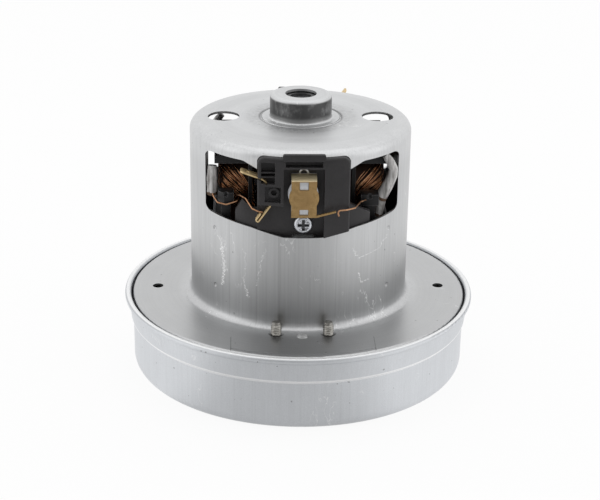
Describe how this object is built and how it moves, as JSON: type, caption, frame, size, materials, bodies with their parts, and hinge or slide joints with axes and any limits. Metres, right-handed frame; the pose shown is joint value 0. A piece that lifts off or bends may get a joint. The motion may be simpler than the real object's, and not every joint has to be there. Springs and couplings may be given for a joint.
{
  "type": "vacuum motor unit",
  "caption": "Bypass-free suction motor: drawn steel can with brush gear in side windows over a round fan cover with a central inlet.",
  "frame": {"origin": "on the shaft axis, in the plane of the fan cover's flat underside round the inlet", "axes": "+Z along the shaft from the inlet to the bearing hub; the front brush window faces -Y; +X to the right in the front view"},
  "size_m": [0.135, 0.135, 0.1074],
  "materials": {
    "cover_steel": "satin drawn steel sheet with a thin zinc coat",
    "can_steel": "satin drawn steel sheet with upright draw marks",
    "lamination": "stacked electrical steel, oxidised edges",
    "winding_copper": "enamelled copper wire, semi-gloss",
    "former_plastic": "near-black glass-filled moulding",
    "holder_plastic": "near-black phenolic moulding, slightly satin",
    "bearing_steel": "ground bearing steel",
    "bracket_steel": "zinc-plated pressed steel",
    "screw_steel": "zinc-plated steel",
    "vane_plastic": "dark grey moulding",
    "fan_aluminium": "rolled aluminium sheet",
    "shaft_steel": "ground steel",
    "insulation": "brown phenolic",
    "commutator_copper": "turned copper",
    "brush_carbon": "pressed carbon, dull",
    "brass": "stamped brass strip",
    "tinned_metal": "tinned sheet",
    "sleeve_fabric": "varnished woven sleeve"
  },
  "bodies": {
    "motor_frame": {"bearing_bracket": "bracket_steel", "bracket_screws": "screw_steel", "brush_clip_front": "brass", "brush_clip_rear": "brass", "brush_holder_front": "holder_plastic", "brush_holder_rear": "holder_plastic", "brush_spring_front": "screw_steel", "brush_spring_rear": "screw_steel", "brush_tube_front": "tinned_metal", "brush_tube_rear": "tinned_metal", "clip_plate_front": "tinned_metal", "clip_plate_rear": "tinned_metal", "fan_cover": "cover_steel", "field_coil_left": "winding_copper", "field_coil_right": "winding_copper", "field_core": "lamination", "guide_vane_plate": "vane_plastic", "holder_screw_front": "screw_steel", "holder_screw_rear": "screw_steel", "lead_sleeve_front_left": "sleeve_fabric", "lead_sleeve_front_right": "sleeve_fabric", "lead_sleeve_rear_left": "sleeve_fabric", "lead_sleeve_rear_right": "sleeve_fabric", "lead_wires_front": "winding_copper", "lead_wires_rear": "winding_copper", "lower_bearing_outer_ring": "bearing_steel", "lower_former_left": "former_plastic", "lower_former_right": "former_plastic", "motor_can": "can_steel", "tab_terminal_front": "brass", "tab_terminal_rear": "brass", "top_bearing_outer_ring": "bearing_steel", "top_bearing_washer": "bearing_steel", "upper_former_left": "former_plastic", "upper_former_right": "former_plastic"},
    "rotor": {"rotor_shaft": "shaft_steel", "armature_core": "lamination", "armature_winding": "winding_copper", "commutator_bars": "commutator_copper", "commutator_body": "insulation", "shaft_collars": "insulation", "lower_bearing_inner_ring": "bearing_steel", "top_bearing_inner_ring": "bearing_steel", "fan_spacer": "shaft_steel", "fan_back_plate": "fan_aluminium", "fan_blades": "fan_aluminium", "fan_shroud": "fan_aluminium", "fan_washers": "screw_steel", "fan_nut": "screw_steel"},
    "front_brush": {"carbon_brush_front": "brush_carbon"},
    "rear_brush": {"carbon_brush_rear": "brush_carbon"}
  },
  "joints": [
    {"name": "rotor_spin", "type": "hinge", "parent": "motor_frame", "child": "rotor", "pos_m": [0, 0, 0.06], "axis": [0, 0, 1], "continuous": true},
    {"name": "front_brush_slide", "type": "slide", "parent": "motor_frame", "child": "front_brush", "axis": [0, -1, 0], "range_m": [0, 0.006], "stiffness_N_per_m": 200, "springref_m": -0.006, "deforming": ["brush_spring_front"]},
    {"name": "rear_brush_slide", "type": "slide", "parent": "motor_frame", "child": "rear_brush", "axis": [0, 1, 0], "range_m": [0, 0.006], "stiffness_N_per_m": 200, "springref_m": -0.006, "deforming": ["brush_spring_rear"]}
  ]
}
